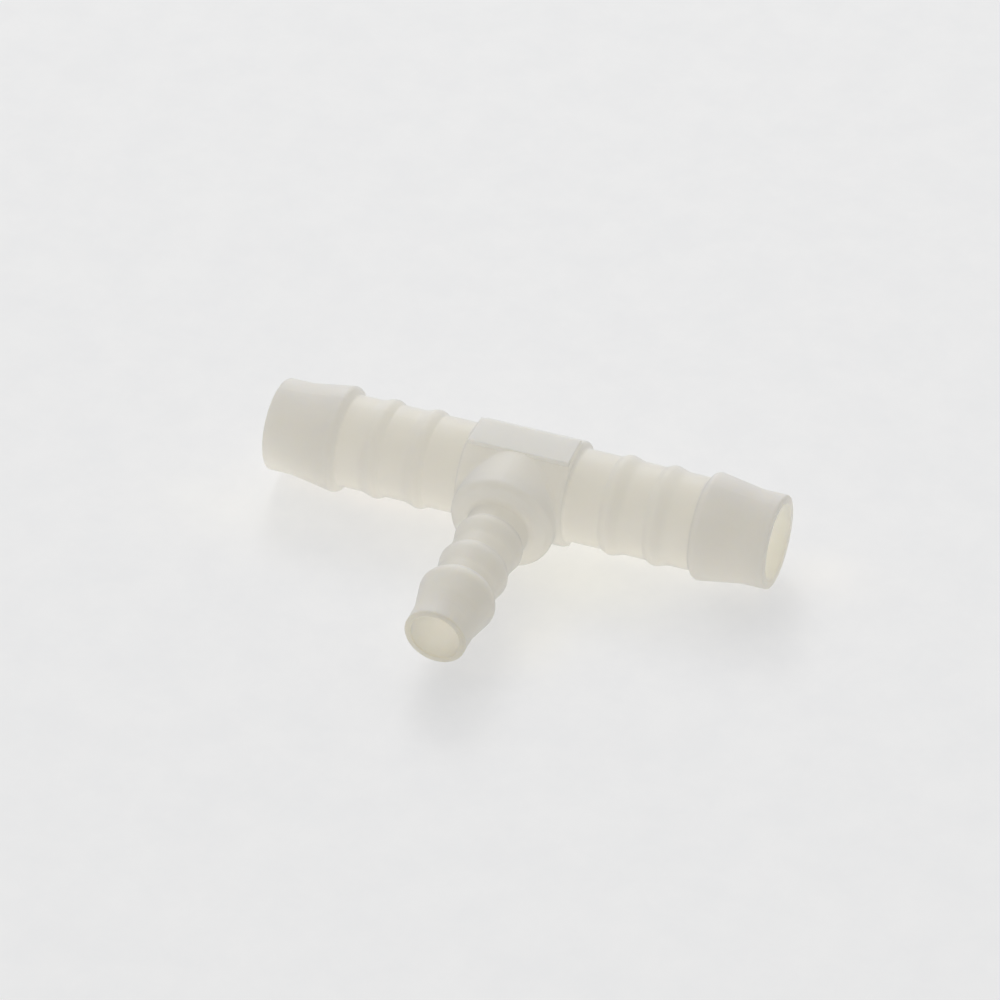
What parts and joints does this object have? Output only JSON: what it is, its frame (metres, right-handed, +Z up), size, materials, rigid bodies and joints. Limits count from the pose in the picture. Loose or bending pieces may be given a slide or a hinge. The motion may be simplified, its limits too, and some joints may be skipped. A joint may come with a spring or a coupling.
{
  "type": "reducing tee fitting",
  "caption": "One-piece barbed hose tee: a straight run with a barbed spigot at each end and a smaller barbed branch at right angles from its middle.",
  "frame": {"origin": "where the axis of the run crosses the axis of the branch, at the middle of the run's bore", "axes": "+X along the run, -Y along the branch toward its mouth, +Z up through the plain pad on top of the body"},
  "size_m": [0.069, 0.0389, 0.0142],
  "materials": {
    "natural_plastic": "undyed, milky and slightly see-through, with a soft satin surface"
  },
  "bodies": {
    "root": {"tee_body": "natural_plastic"}
  },
  "joints": []
}
